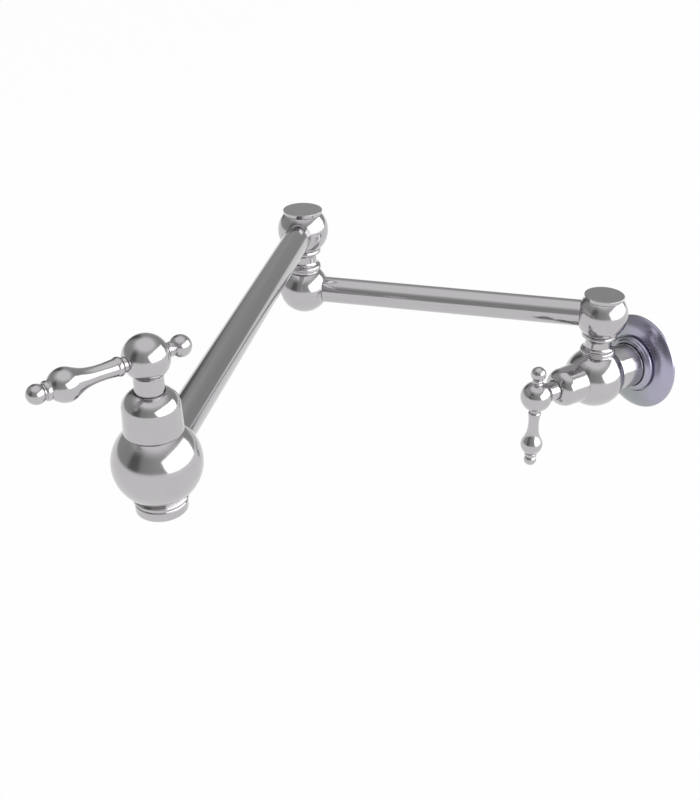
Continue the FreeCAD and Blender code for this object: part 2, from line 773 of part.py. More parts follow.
def elbow_body():
    """Ball at the end of the inner arm, which comes in along X. A swivel stands on it."""
    ball = ball_with(Part.makeSphere(swivel_ball_radius), boss(swivel_ball_radius, elbow_boss), elbow_boss, UP)
    ball = ball.cut(post_socket(elbow_boss))
    ball = ball.cut(rod(post_bore_radius, 0, elbow_boss))
    ball = ball.cut(Part.makeSphere(arm_passage_radius))
    ball = ball.cut(along(rod(arm_passage_radius, 0, tube_end_in_swivel + 1), V(1, 0, 0)))
    return ball.cut(tube_socket(tube_end_in_swivel, swivel_ball_radius))


# ---- Outlet ----

def aerator_housing():
    """Outlet nozzle that screws into the spout's ball and holds the aerator."""
    ring_low = -outlet_face - outlet_ring
    low = ring_low - nozzle
    top = -outlet_face + outlet_socket - aerator_seal
    spigot = spigot_radius
    wide = outlet_ring_radius
    housing = turned([
        (nozzle_lip_radius, low), (nozzle_radius - nozzle_round, low),
        (nozzle_radius, low + nozzle_round, 0.3 * nozzle_round),
        (nozzle_radius, ring_low), (wide - edge, ring_low), (wide, ring_low + edge),
        (wide, -outlet_face - 0.3 - edge), (outlet_boss_radius, -outlet_face - 0.3),
        (outlet_boss_radius, -outlet_face), (spigot, -outlet_face), (spigot, top),
        (nozzle_bore_radius, top), (nozzle_bore_radius, low + nozzle_lip),
        (nozzle_lip_radius, low + nozzle_lip)])
    return housing.cut(groove(spigot, outlet_seal_level(), outlet_ring_wire))


def outlet_seal_level():
    return -outlet_face + outlet_ring_wire


def aerator_insert():
    """Plastic insert: a cup with a floor of small holes that the water leaves by."""
    low = -outlet_face - outlet_ring - nozzle + nozzle_lip
    top = -outlet_face + outlet_socket - aerator_seal
    outer = nozzle_bore_radius - seated_gap
    cup = rod(outer, low, top).cut(rod(outer - insert_wall, low + insert_floor, top + 1))
    reach = outer - insert_wall - insert_hole_radius - 0.3
    rows = int(reach / insert_pitch) + 1
    for row in range(-rows, rows + 1):
        for step in range(-rows, rows + 1):
            x = (step + row / 2) * insert_pitch
            y = row * insert_pitch * math.sqrt(3) / 2
            if math.hypot(x, y) < reach:
                hole = rod(insert_hole_radius, low - 1, low + insert_floor + 1)
                hole.translate(V(x, y, 0))
                cup = cup.cut(hole)
    return cup


def aerator_screens():
    """Two screens across the insert that mix air into the water."""
    low = -outlet_face - outlet_ring - nozzle + nozzle_lip + insert_floor
    radius = nozzle_bore_radius - seated_gap - insert_wall - seated_gap
    screens = []
    for k in (1, 2):
        level = low + k * screen_spacing
        plate = rod(radius, level, level + screen)
        for spoke in range(8):
            hole = rod(insert_hole_radius, level - 1, level + screen + 1)
            angle = math.radians(45 * spoke + 22.5 * k)
            hole.translate(V(radius * 0.62 * math.cos(angle), radius * 0.62 * math.sin(angle), 0))
            plate = plate.cut(hole)
        screens.append(plate)
    return screens


def make_outlet(place):
    seal_high = -outlet_face + outlet_socket
    seal = ring(spigot_radius, aerator_seal_bore, seal_high - aerator_seal, seal_high)
    save("aerator_housing", place, aerator_housing())
    save("aerator_insert", place, aerator_insert())
    save("aerator_screens", place, *aerator_screens())
    save("aerator_seal", place, seal)
    save("outlet_o_ring", place,
         o_ring(spigot_radius - outlet_ring_wire, outlet_seal_level(), outlet_ring_wire))


# ---- The object ----

os.makedirs("parts", exist_ok=True)

make_wall_set()

wall_valve_frame = frame(wall_valve, OUT, UP)
wall_lever_frame = frame(wall_valve, OUT, -UP)
wall_handle_frame = frame(wall_valve + OUT * hub_level, OUT, -UP)
save("wall_valve_body", wall_valve_frame, wall_valve_body())
make_valve_works("wall", wall_lever_frame, wall_handle_frame)

make_swivel("wall_swivel", wall_valve + UP * valve_boss, inner_way)
inner_tube = arm_tube(inner_reach, swivel_ball_radius, tube_end_in_swivel,
                      swivel_ball_radius, tube_end_in_swivel)
save("inner_arm_tube", frame(wall_swivel, inner_way, UP), inner_tube)

save("elbow_body", frame(elbow, UP, -inner_way), elbow_body())
make_swivel("elbow_swivel", elbow + UP * elbow_boss, outer_way)
outer_tube = arm_tube(outer_reach, swivel_ball_radius, tube_end_in_swivel,
                      valve_ball_radius, tube_end_in_valve)
save("outer_arm_tube", frame(elbow_swivel, outer_way, UP), outer_tube)

spout_valve_frame = frame(spout_valve, UP, -outer_way)
spout_lever_frame = frame(spout_valve, UP, lever_way)
spout_handle_frame = frame(spout_valve + UP * hub_level, UP, lever_way)
save("spout_valve_body", spout_valve_frame, spout_valve_body())
make_valve_works("spout", spout_lever_frame, spout_handle_frame)
make_outlet(spout_valve_frame)
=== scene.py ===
import json
import math

import bpy
from mathutils import Matrix, Vector


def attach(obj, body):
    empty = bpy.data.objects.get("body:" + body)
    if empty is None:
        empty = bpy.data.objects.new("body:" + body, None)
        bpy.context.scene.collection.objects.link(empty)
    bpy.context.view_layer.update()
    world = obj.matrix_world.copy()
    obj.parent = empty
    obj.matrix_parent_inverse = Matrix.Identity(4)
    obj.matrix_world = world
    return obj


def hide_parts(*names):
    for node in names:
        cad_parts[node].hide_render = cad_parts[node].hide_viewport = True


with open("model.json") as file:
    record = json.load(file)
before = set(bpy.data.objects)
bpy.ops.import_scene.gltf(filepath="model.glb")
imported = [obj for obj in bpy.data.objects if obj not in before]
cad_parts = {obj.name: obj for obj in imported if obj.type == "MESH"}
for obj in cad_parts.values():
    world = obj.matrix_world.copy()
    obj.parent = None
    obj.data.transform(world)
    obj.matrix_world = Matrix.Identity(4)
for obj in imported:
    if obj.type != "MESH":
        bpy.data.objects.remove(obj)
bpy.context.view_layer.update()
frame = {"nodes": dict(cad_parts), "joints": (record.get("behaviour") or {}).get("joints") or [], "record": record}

# A wall mounted pot filler in polished chrome. Millimetres in the outlines, metres everywhere else.

MM = 0.001
UP = Vector((0, 0, 1))
OUT = Vector((0, -1, 0))

BODY = {node: body for body, nodes in frame["record"]["behaviour"]["bodies"].items() for node in nodes}
SLOT = {part["node"]: part["material_slot"] for part in frame["record"]["subparts"]}
AXIS = {joint["name"]: Vector(joint["pos_m"]) for joint in frame["joints"]}


# ---- Sizes, in millimetres ----

INNER_ARM_ANGLE = -45.4      # degrees to the right of straight out, as are the next two
OUTER_ARM_ANGLE = 46.7
SPOUT_LEVER_ANGLE = 7.0

VALVE_BALL = 22.1
SWIVEL_BALL = 18.35
BOSS = 11.0                  # round boss where a swivel stands on a ball
BOSS_FILLET = 0.6
VALVE_BOSS_RISE = 1.1        # above the circle where the boss leaves its ball
ELBOW_BOSS_RISE = 1.5
BOSS_ROOT = 4.0              # how far the valve's boss reaches into its ball
TUBE = 9.5
TUBE_WALL = 2.0
TENON = 8.6                  # turned-down end of a tube, inside a ball
SWIVEL_SOCKET = 11.8         # centre of a swivel's ball to the end of the tube's socket
VALVE_SOCKET = 12.0
SEATED = 0.03                # gap between a piece and its seat

SPOOL = 15.7                 # height of the spool between two balls
SPOOL_RIM = 12.65
SPOOL_RING = 3.3
SPOOL_NECK = 9.4
POST_SOCKET = 9.0
POST_RELIEF = 0.5            # free depth under a post
POST_FLOOR = 1.2             # metal between the post's hole and the inlet's spigot
POST_BORE = 5.0
JOURNAL = 8.0
JOURNAL_REACH = 4.85         # above the centre of the upper ball
JOURNAL_GAP = 0.05           # the upper ball turns on the journal with this much room
GALLERY = 10.6
GALLERY_LEVELS = (-7.0, 1.0, 4.8)   # the water's ring, and the floor of the room under the cap
HEAD_FLOOR = 16.35           # boss of the lower ball to the face under the upper one
HEAD_FACE = 13.4             # centre of the upper ball to the face under it
HEAD_LIP = 12.5
HEAD_LIP_HEIGHT = 0.55

CAP = 14.15
CAP_HEIGHT = 2.8
CAP_OVERHANG = 1.0
CAP_SKIRT_DEPTH = 3.0
CAP_SKIRT_WALL = 1.3

BONNET = 14.4
BONNET_SEAT = 13.3
BONNET_THREAD = 12.0
BONNET_THREAD_HEIGHT = 7.1   # of the valve's collar, above the bonnet's seat
BONNET_HEIGHT = 21.3
BONNET_SKIRT = 13.9
BONNET_MOUTH_DROP = 0.2      # of the visible dome, under the bonnet's full height
CARTRIDGE = 9.3
CARTRIDGE_STEP = 2.0         # from the inlet's spigot to the cartridge's seat
CHAMBER = 5.9

HUB_BALL = 11.25
HUB_FILLET = 8.0             # circle of the ball where the neck's fillet meets it
HUB_FILLET_HEIGHT = 1.8
NECK = 7.05
NECK_GAP = 0.25              # between the neck and the bonnet
NECK_DEPTH = 0.9             # below the bonnet's top
HANDLE_RISE = 17.15
STEM_SQUARE = 6.1
GRUB_BELOW_HUB = 13.4
GRUB = 2.0
LEVER_COLLAR = 3.6
LEVER_BEAD = 4.2
LEVER_WAIST = 3.82
LEVER_BULB = 8.0
LEVER_BULB_TO_TIP = 17.8
LEVER_TIP = 4.6
LEVER_LENGTH = 57.7
STUD = 2.45
FINIAL_STUD = 2.0
STUD_DEPTH = 6.0
COLLAR_SINK = 0.15           # how far the lever and the finial sit in the hub's ball
FINIAL_BALL = 5.4
FINIAL_NECK = 3.2
FINIAL_BASE = 4.0
FINIAL_REACH = 18.1

FLANGE = 36.0
FLANGE_RIM = 1.8
FLANGE_WALL = 2.6
FLANGE_GAP = 0.5             # around the inlet's sleeve
FLANGE_HUB_WALL = 2.2
FLANGE_SHOULDER = 21.9
FLANGE_GROOVE_WIDTH = 1.0
FLANGE_GROOVE_DEPTH = 1.7
FLANGE_STEP = 6.5
FLANGE_HEIGHT = 11.4
SHANK = 16.5
SHANK_BORE = 7.0
SHANK_THREAD = 9.3
SHANK_THREAD_DEPTH = 14.0
SPIGOT = 11.6
SPIGOT_ROOM = 5.4            # depth of the inlet's socket
INLET_COLLAR = 17.9
INLET_RIM = 1.5              # height of the collar outside its ball

OUTLET_BOSS = 12.9
OUTLET_RIM = 0.4
OUTLET_ROOM = 5.2            # depth of the outlet's socket
OUTLET_RING = 13.7
OUTLET_RING_HEIGHT = 2.2
OUTLET_COVE = 1.7            # height of the cove between the ring and the nozzle
NOZZLE = 13.0
NOZZLE_HEIGHT = 6.55
NOZZLE_ROUND = 1.2
NOZZLE_BORE = 9.9
NOZZLE_MOUTH = 9.1
NOZZLE_LIP = 0.8
NOZZLE_SPIGOT = 3.6

TURN_STEPS = 96              # faces round a turned piece
ARC_STEP = math.radians(5)   # finest step along an arc of an outline
CORNER_ROUND = 0.2           # radius on a turned piece's corners
CORNER_ROOM = 0.45           # a ring this far from a corner keeps the face beside it flat
CORNER_ANGLE = math.radians(28)     # edges sharper than this get the round
SMOOTH_ANGLE = math.radians(40)     # edges sharper than this stay edges in the shading
WELD = 0.002                 # points closer than this become one


def on_ball(ball, circle):
    """How far from its centre a ball has a circle of this radius."""
    return math.sqrt(ball * ball - circle * circle)


ELBOW_BOSS = on_ball(SWIVEL_BALL, BOSS) + ELBOW_BOSS_RISE
VALVE_BOSS = on_ball(VALVE_BALL, BOSS) + VALVE_BOSS_RISE
POST_HOLE = VALVE_BOSS - SPIGOT - POST_FLOOR
CAP_SEAT = on_ball(SWIVEL_BALL, CAP - CAP_OVERHANG)
SEAT_LEVEL = on_ball(VALVE_BALL, BONNET_SEAT)
BONNET_TOP = SEAT_LEVEL + BONNET_HEIGHT
INLET_FACE = on_ball(VALVE_BALL, INLET_COLLAR) + INLET_RIM
OUTLET_FACE = on_ball(VALVE_BALL, OUTLET_BOSS) + OUTLET_RIM
SPIGOT_FLOOR = -INLET_FACE + SPIGOT_ROOM
CARTRIDGE_SEAT = SPIGOT_FLOOR + CARTRIDGE_STEP


# ---- Places ----

def heading(angle):
    return Vector((math.sin(math.radians(angle)), -math.cos(math.radians(angle)), 0))


def place(origin, z_way, x_way):
    """Where a piece drawn round the origin goes: its own Z and X point these ways."""
    y_way = z_way.cross(x_way)
    turn = Matrix((x_way, y_way, z_way)).transposed()
    return Matrix.Translation(origin) @ turn.to_4x4()


WALL_VALVE = AXIS["wall_handle_turn"]
WALL_SWIVEL = AXIS["wall_swing"]
ELBOW_SWIVEL = AXIS["elbow_swing"]
SPOUT_HUB = AXIS["spout_handle_turn"]
ELBOW = Vector((ELBOW_SWIVEL.x, ELBOW_SWIVEL.y, WALL_SWIVEL.z))
SPOUT_VALVE = Vector((SPOUT_HUB.x, SPOUT_HUB.y, ELBOW_SWIVEL.z))
WALL_HUB = WALL_VALVE + OUT * (SPOUT_HUB.z - SPOUT_VALVE.z)
INNER_WAY = heading(INNER_ARM_ANGLE)
OUTER_WAY = heading(OUTER_ARM_ANGLE)
LEVER_WAY = heading(SPOUT_LEVER_ANGLE)


# ---- Finishes ----

def hex_colour(code):
    """The linear colour, with alpha, of an sRGB hex value."""
    shares = [int(code[k:k + 2], 16) / 255 for k in (1, 3, 5)]
    linear = [s / 12.92 if s <= 0.04045 else ((s + 0.055) / 1.055) ** 2.4 for s in shares]
    return (*linear, 1.0)


def node(tree, kind, settings=None, inputs=None):
    """Adds a node with its settings. Each input gets a value, or a link from another node's output."""
    made = tree.nodes.new(kind)
    for name, value in (settings or {}).items():
        setattr(made, name, value)
    for name, value in (inputs or {}).items():
        if isinstance(value, bpy.types.NodeSocket):
            tree.links.new(value, made.inputs[name])
        else:
            made.inputs[name].default_value = value
    return made


def finish_on(name, where, constants):
    """A new material: its tree, its shader with constants set, and the piece's own coordinates in metres."""
    material = bpy.data.materials.new(name)
    material.use_nodes = True
    tree = material.node_tree
    shader = tree.nodes["Principled BSDF"]
    for socket, value in constants.items():
        shader.inputs[socket].default_value = value
    object_space = node(tree, "ShaderNodeTexCoord").outputs["Object"]
    own = node(tree, "ShaderNodeMapping", {"vector_type": "TEXTURE"}, {
        "Vector": object_space, "Location": where.translation, "Rotation": where.to_euler()})
    return material, tree, shader, own.outputs["Vector"]


def lathe_lines(tree, own, spacing, arc):
    """Noise in rings round the piece's axis, this far apart in millimetres, each about arc long."""
    apart = node(tree, "ShaderNodeSeparateXYZ", inputs={"Vector": own})
    flat = node(tree, "ShaderNodeCombineXYZ", inputs={"X": apart.outputs["X"], "Y": apart.outputs["Y"]})
    radius = node(tree, "ShaderNodeVectorMath", {"operation": "LENGTH"}, {0: flat.outputs[0]})
    round_way = node(tree, "ShaderNodeVectorMath", {"operation": "NORMALIZE"}, {0: flat.outputs[0]})
    around = node(tree, "ShaderNodeVectorMath", {"operation": "SCALE"}, {
        0: round_way.outputs["Vector"], "Scale": 10.0 / arc})
    fine = 1 / (spacing * MM)
    level = node(tree, "ShaderNodeMath", {"operation": "MULTIPLY"}, {0: apart.outputs["Z"], 1: fine})
    lift = node(tree, "ShaderNodeCombineXYZ", inputs={"Z": level.outputs[0]})
    ring = node(tree, "ShaderNodeVectorMath", {"operation": "ADD"}, {
        0: around.outputs["Vector"], 1: lift.outputs[0]})
    depth = node(tree, "ShaderNodeMath", {"operation": "MULTIPLY"}, {0: radius.outputs["Value"], 1: fine})
    return node(tree, "ShaderNodeTexNoise", {"noise_dimensions": "4D"}, {
        "Vector": ring.outputs[0], "W": depth.outputs[0], "Scale": 1.0, "Detail": 2.0}).outputs["Fac"]


def grain(tree, own, size, detail=2.0, stretch=(1, 1, 1)):
    """Noise whose spots are about this many millimetres, longer along an axis by its stretch."""
    eased = node(tree, "ShaderNodeMapping", inputs={
        "Vector": own, "Scale": [1 / (size * MM * s) for s in stretch]})
    return node(tree, "ShaderNodeTexNoise", inputs={
        "Vector": eased.outputs["Vector"], "Scale": 1.0, "Detail": detail}).outputs["Fac"]


def polish_strokes(tree, own, apart, length):
    """Noise in strokes from pole to pole of a turned piece, in millimetres: this far apart, each this long."""
    spot = node(tree, "ShaderNodeSeparateXYZ", inputs={"Vector": own})
    flat = node(tree, "ShaderNodeCombineXYZ", inputs={"X": spot.outputs["X"], "Y": spot.outputs["Y"]})
    round_way = node(tree, "ShaderNodeVectorMath", {"operation": "NORMALIZE"}, {0: flat.outputs[0]})
    around = node(tree, "ShaderNodeVectorMath", {"operation": "SCALE"}, {
        0: round_way.outputs["Vector"], "Scale": SWIVEL_BALL / apart})
    level = node(tree, "ShaderNodeMath", {"operation": "MULTIPLY"}, {
        0: spot.outputs["Z"], 1: 1 / (length * MM)})
    lift = node(tree, "ShaderNodeCombineXYZ", inputs={"Z": level.outputs[0]})
    stroke = node(tree, "ShaderNodeVectorMath", {"operation": "ADD"}, {
        0: around.outputs["Vector"], 1: lift.outputs[0]})
    return node(tree, "ShaderNodeTexNoise", inputs={
        "Vector": stroke.outputs["Vector"], "Scale": 1.0, "Detail": 2.0}).outputs["Fac"]


def spread(tree, value, low, high):
    """Noise turned into a range, with its middle half stretched over all of it."""
    return node(tree, "ShaderNodeMapRange", inputs={
        "Value": value, "From Min": 0.25, "From Max": 0.75, "To Min": low, "To Max": high}).outputs[0]


def tint(tree, shader, factor, low, high):
    """The shader's colour runs from one sRGB hex value to another."""
    tone = node(tree, "ShaderNodeMix", {"data_type": "RGBA"}, {
        "Factor": factor, 6: hex_colour(low), 7: hex_colour(high)})
    tree.links.new(tone.outputs[2], shader.inputs["Base Color"])


def dull(tree, shader, value, low, high):
    """The shader's roughness follows a noise between two values."""
    tree.links.new(spread(tree, value, low, high), shader.inputs["Roughness"])


def relief(tree, shader, *layers):
    """Bumps stacked on the shader's normal: each layer is a height and its depth in millimetres."""
    below = None
    for height, depth in layers:
        inputs = {"Height": height, "Distance": depth * MM, "Strength": 1.0}
        if below:
            inputs["Normal"] = below
        below = node(tree, "ShaderNodeBump", inputs=inputs).outputs["Normal"]
    tree.links.new(below, shader.inputs["Normal"])


def polished_chrome(name, where):
    """Chrome plate over turned and buffed brass. It mirrors its surroundings, and the buffing has left
    faint strokes and shallow waves, so that the edges of bright reflections look slightly ragged."""
    material, tree, shader, own = finish_on("polished_chrome_" + name, where, {"Metallic": 1.0})
    waves = grain(tree, own, 2.4, 2.0)
    strokes = polish_strokes(tree, own, 0.9, 7.0)
    haze = grain(tree, own, 9.0)
    tint(tree, shader, spread(tree, haze, 0.0, 1.0), "#b9b7b9", "#bdbbbd")
    dull(tree, shader, haze, 0.12, 0.17)
    relief(tree, shader, (waves, 0.004), (strokes, 0.005))
    return material


def satin_chrome(name, where):
    """Chrome over finely blasted brass on the wall plate: it spreads what it mirrors into soft gradients.
    Its colour carries a painted reflection tint, from a faint green at the lower left to a faint violet at the
    upper right, standing in for tinted reflections on the plate."""
    material, tree, shader, own = finish_on("satin_chrome_" + name, where, {"Metallic": 1.0})
    cast = grain(tree, own, 26.0)
    blast = grain(tree, own, 0.5, 3.0)
    # Painted reflection: the base colour shifts from green at the lower left to violet at the upper right, with a
    # slow random wobble, in place of tinted reflections.
    across = node(tree, "ShaderNodeVectorMath", {"operation": "DOT_PRODUCT"}, {
        0: own, 1: (0.5, -0.87, 0.0)})
    painted_reflection_drift = node(tree, "ShaderNodeMapRange", {"interpolation_type": "SMOOTHSTEP"}, {
        "Value": across.outputs["Value"], "From Min": -0.4 * FLANGE * MM, "From Max": 0.8 * FLANGE * MM})
    painted_reflection_tint = node(tree, "ShaderNodeMath", {"operation": "MULTIPLY_ADD", "use_clamp": True}, {
        0: spread(tree, cast, -0.25, 0.25), 1: 1.0, 2: painted_reflection_drift.outputs[0]})
    tint(tree, shader, painted_reflection_tint.outputs[0], "#989d9f", "#aeaabf")
    dull(tree, shader, blast, 0.2, 0.28)
    relief(tree, shader, (blast, 0.002))
    return material


def brushed_chrome(name, where):
    """Chrome plate over drawn tube that was brushed from end to end. Fine streaks run along it and blur
    what it mirrors a little. Real strokes are 0.05 mm apart, drawn here at 0.5 mm so that they show."""
    material, tree, shader, own = finish_on("brushed_chrome_" + name, where, {"Metallic": 1.0})
    strokes = grain(tree, own, 0.5, 3.0, (1, 1, 90))
    bands = grain(tree, own, 1.6, 2.0, (1, 1, 160))
    tint(tree, shader, spread(tree, strokes, 0.0, 1.0), "#b4b2b4", "#bebcbe")
    dull(tree, shader, bands, 0.09, 0.13)
    relief(tree, shader, (bands, 0.005), (strokes, 0.002))
    return material


def machined_brass(name, where):
    """Free-cutting brass as it leaves the lathe: warm yellow with the rings of the tool."""
    material, tree, shader, own = finish_on("machined_brass_" + name, where, {"Metallic": 1.0})
    rings = lathe_lines(tree, own, 0.4, 20.0)
    tint(tree, shader, spread(tree, rings, 0.0, 1.0), "#bf9a55", "#d3b06c")
    dull(tree, shader, rings, 0.24, 0.38)
    relief(tree, shader, (rings, 0.004))
    return material


def stainless_steel(name, where):
    """Stamped and tumbled stainless steel: a soft grey sheen with a fine, even grain."""
    material, tree, shader, own = finish_on("stainless_steel_" + name, where, {
        "Metallic": 1.0, "Base Color": hex_colour("#b3b2ae")})
    tumbled = grain(tree, own, 0.35, 3.0)
    dull(tree, shader, tumbled, 0.28, 0.42)
    relief(tree, shader, (tumbled, 0.003))
    return material


def lapped_alumina(name, where):
    """Sintered alumina lapped flat: an off-white ceramic, faintly mottled and nearly glossy."""
    material, tree, shader, own = finish_on("lapped_alumina_" + name, where, {"IOR": 1.76})
    mottle = grain(tree, own, 1.2, 3.0)
    tint(tree, shader, spread(tree, mottle, 0.0, 1.0), "#e6e2d8", "#f0ede6")
    dull(tree, shader, mottle, 0.14, 0.24)
    relief(tree, shader, (mottle, 0.001))
    return material


def moulded_rubber(name, where):
    """Black EPDM rubber from a mould: dark and matte, with a slightly dusty bloom."""
    material, tree, shader, own = finish_on("moulded_rubber_" + name, where, {"IOR": 1.5})
    bloom = grain(tree, own, 0.8, 3.0)
    tint(tree, shader, spread(tree, bloom, 0.0, 1.0), "#18181a", "#26262a")
    dull(tree, shader, bloom, 0.55, 0.75)
    relief(tree, shader, (bloom, 0.006))
    return material


def black_acetal(name, where):
    """Black acetal turned from rod: deep black with a dull gloss and faint rings of the tool."""
    material, tree, shader, own = finish_on("black_acetal_" + name, where, {
        "IOR": 1.48, "Base Color": hex_colour("#161617")})
    rings = lathe_lines(tree, own, 0.3, 20.0)
    dull(tree, shader, rings, 0.4, 0.55)
    relief(tree, shader, (rings, 0.003))
    return material


def grey_moulding(name, where):
    """Grey acetal from a mould: even colour, a satin skin with a trace of flow."""
    material, tree, shader, own = finish_on("grey_moulding_" + name, where, {"IOR": 1.48})
    flow = grain(tree, own, 3.0, 2.0)
    tint(tree, shader, spread(tree, flow, 0.0, 1.0), "#85898d", "#93979b")
    dull(tree, shader, flow, 0.35, 0.45)
    relief(tree, shader, (flow, 0.003))
    return material


FINISH = {
    "polished_metal": polished_chrome,
    "brushed_tube": brushed_chrome,
    "brass": machined_brass,
    "stainless_steel": stainless_steel,
    "ceramic": lapped_alumina,
    "rubber": moulded_rubber,
    "black_plastic": black_acetal,
    "grey_plastic": grey_moulding,
}


# ---- Turning ----

def drawn(*steps):
    """The points of an outline. (r, z) ends a straight run. (r, z, sag) ends an arc that stands sag off
    its chord, to the right of the way it is drawn. (r, z, sag, "ball") ends an arc of a ball centred at
    height sag on the axis. A list is one smooth curve through its points."""
    points = [Vector(steps[0])]
    for step in steps[1:]:
        here = points[-1]
        if isinstance(step, list):
            points += smooth_through([here] + [Vector(p) for p in step])
            continue
        there = Vector(step[:2])
        if len(step) == 4:
            points += arc_round(Vector((0, step[2])), here, there, True)
        elif len(step) == 3:
            run = there - here
            sag = step[2]
            aside = Vector((run.y, -run.x)).normalized()
            radius = (run.length_squared / 4 + sag * sag) / (2 * abs(sag))
            centre = (here + there) / 2 + aside * (sag - math.copysign(radius, sag))
            points += arc_round(centre, here, there, sag > 0)
        else:
            points += straight(here, there)
    return points


def straight(here, there):
    """A straight run, with a point near each end if it is long enough."""
    run = there - here
    if run.length < 3 * CORNER_ROOM:
        return [there]
    room = run.normalized() * CORNER_ROOM
    return [here + room, there - room, there]


def arc_round(centre, here, there, anticlockwise):
    start, end = here - centre, there - centre
    sweep = math.atan2(end.y, end.x) - math.atan2(start.y, start.x)
    sweep = sweep % (2 * math.pi) if anticlockwise else -((-sweep) % (2 * math.pi))
    count = max(2, math.ceil(abs(sweep) / ARC_STEP))
    turns = [Matrix.Rotation(sweep * k / count, 2) for k in range(1, count)]
    return [centre + turn @ start for turn in turns] + [there]


def smooth_through(points):
    """Points of a smooth curve through these, after the first one."""
    ends = [2 * points[0] - points[1]] + points + [2 * points[-1] - points[-2]]
    found = []
    for a, b, c, d in zip(ends, ends[1:], ends[2:], ends[3:]):
        for k in range(1, 6):
            t = k / 5
            found.append(0.5 * (2 * b + (c - a) * t + (2 * a - 5 * b + 4 * c - d) * t ** 2
                                + (3 * b - a - 3 * c + d) * t ** 3))
    return found


def turned(name, where, *steps):
    """A piece turned about its Z: one point is drawn along half of its section, and that is spun."""
    points = [Vector((r * MM, 0, z * MM)) for r, z in drawn(*steps)]
    bpy.ops.object.select_all(action="DESELECT")
    bpy.ops.mesh.primitive_plane_add(size=MM, location=(0, 0, 0))
    piece = bpy.context.object
    piece.name = piece.data.name = name
    bpy.ops.object.mode_set(mode="EDIT")
    bpy.ops.mesh.merge(type="CENTER")
    bpy.ops.transform.translate(value=points[0])
    for here, there in zip(points, points[1:]):
        bpy.ops.mesh.extrude_region_move(TRANSFORM_OT_translate={"value": there - here})
    bpy.ops.mesh.select_all(action="SELECT")
    bpy.ops.mesh.spin(steps=TURN_STEPS, angle=2 * math.pi, center=(0, 0, 0), axis=(0, 0, 1))
    bpy.ops.mesh.select_all(action="SELECT")
    bpy.ops.mesh.remove_doubles(threshold=WELD * MM)
    bpy.ops.mesh.normals_make_consistent(inside=False)
    bpy.ops.mesh.select_all(action="DESELECT")
    bpy.ops.mesh.edges_select_sharp(sharpness=CORNER_ANGLE)
    bpy.ops.mesh.bevel(offset=CORNER_ROUND * MM, segments=3, affect="EDGES", clamp_overlap=True)
    bpy.ops.object.mode_set(mode="OBJECT")
    piece.matrix_world = where
    bpy.ops.object.transform_apply(location=True, rotation=True, scale=True)
    bpy.ops.object.shade_smooth_by_angle(angle=SMOOTH_ANGLE)
    return piece


def drilled(piece, radius, start, way, depth):
    """Cuts a round hole into a piece from the point start along way, in metres."""
    bpy.ops.object.select_all(action="DESELECT")
    middle = start + way * depth / 2
    bpy.ops.mesh.primitive_cylinder_add(vertices=TURN_STEPS, radius=radius, depth=depth, location=middle,
                                        rotation=way.to_track_quat("Z", "Y").to_euler())
    combine(piece, bpy.context.object, "DIFFERENCE")


def combine(piece, other, operation):
    """Joins another solid to a piece, or cuts it out."""
    step = piece.modifiers.new("combine", "BOOLEAN")
    step.operation = operation
    step.object = other
    step.solver = "EXACT"
    bpy.ops.object.select_all(action="DESELECT")
    bpy.context.view_layer.objects.active = piece
    piece.select_set(True)
    bpy.ops.object.modifier_apply(modifier=step.name)
    bpy.data.objects.remove(other)
    bpy.ops.object.shade_smooth_by_angle(angle=SMOOTH_ANGLE)


def dressed(piece, cad_node, where, finish=None):
    """A piece stands for a node: it moves with the node's body and has its finish, laid along the piece."""
    piece.data.materials.append((finish or FINISH[SLOT[cad_node]])(cad_node, where))
    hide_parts(cad_node)
    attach(piece, BODY[cad_node])


# ---- Swivels ----

def swivel_post(name, where):
    """Spool between two balls, with the hollow journal that the upper ball turns on."""
    rim, neck, ring = SPOOL_RIM, SPOOL_NECK, SPOOL_RING
    low = POST_RELIEF - POST_HOLE
    journal_top = HEAD_FLOOR + HEAD_FACE + JOURNAL_REACH
    piece = turned(
        name + "_spool", where,
        (POST_BORE, low), (POST_SOCKET - SEATED, low), (POST_SOCKET - SEATED, 0), (rim - 0.4, 0),
        (rim, 1.0), (rim - 0.4, 1.15), (rim - 0.1, 1.6), (rim - 0.9, ring, 0.25),
        (neck, ring + 3.4, -0.7), (neck, SPOOL - ring - 2.6), (rim - 0.9, SPOOL - ring + 0.2, -0.6),
        (rim, SPOOL - 1.5, 0.3), (rim - 0.4, SPOOL), (JOURNAL, SPOOL), (JOURNAL, journal_top),
        (POST_BORE, journal_top), (POST_BORE, low))
    dressed(piece, name + "_post", where)


def swivel_head(name, where):
    """Ball that turns on the post, with a thin lip below and a flat seat for its cap above."""
    low = -HEAD_FACE
    cove = low + HEAD_LIP_HEIGHT
    bore = JOURNAL + JOURNAL_GAP
    ring_floor, ring_roof, cap_floor = GALLERY_LEVELS
    piece = turned(
        name + "_ball", where,
        (bore, low), (HEAD_LIP, low), (HEAD_LIP, cove - 0.3), (HEAD_LIP - 0.3, cove, -0.06),
        (on_ball(SWIVEL_BALL, cove), cove), (CAP - CAP_OVERHANG, CAP_SEAT, 0, "ball"),
        (GALLERY, CAP_SEAT), (GALLERY, cap_floor), (bore, cap_floor), (bore, ring_roof), (GALLERY, ring_roof),
        (GALLERY, ring_floor), (bore, ring_floor), (bore, low))
    centre, arm = where.translation, where.col[0].xyz
    for hole, start in ((TENON, SWIVEL_SOCKET), (TUBE, on_ball(SWIVEL_BALL, TUBE))):
        drilled(piece, (hole + SEATED) * MM, centre + arm * start * MM, arm, SWIVEL_BALL * MM)
    dressed(piece, name + "_head", where)


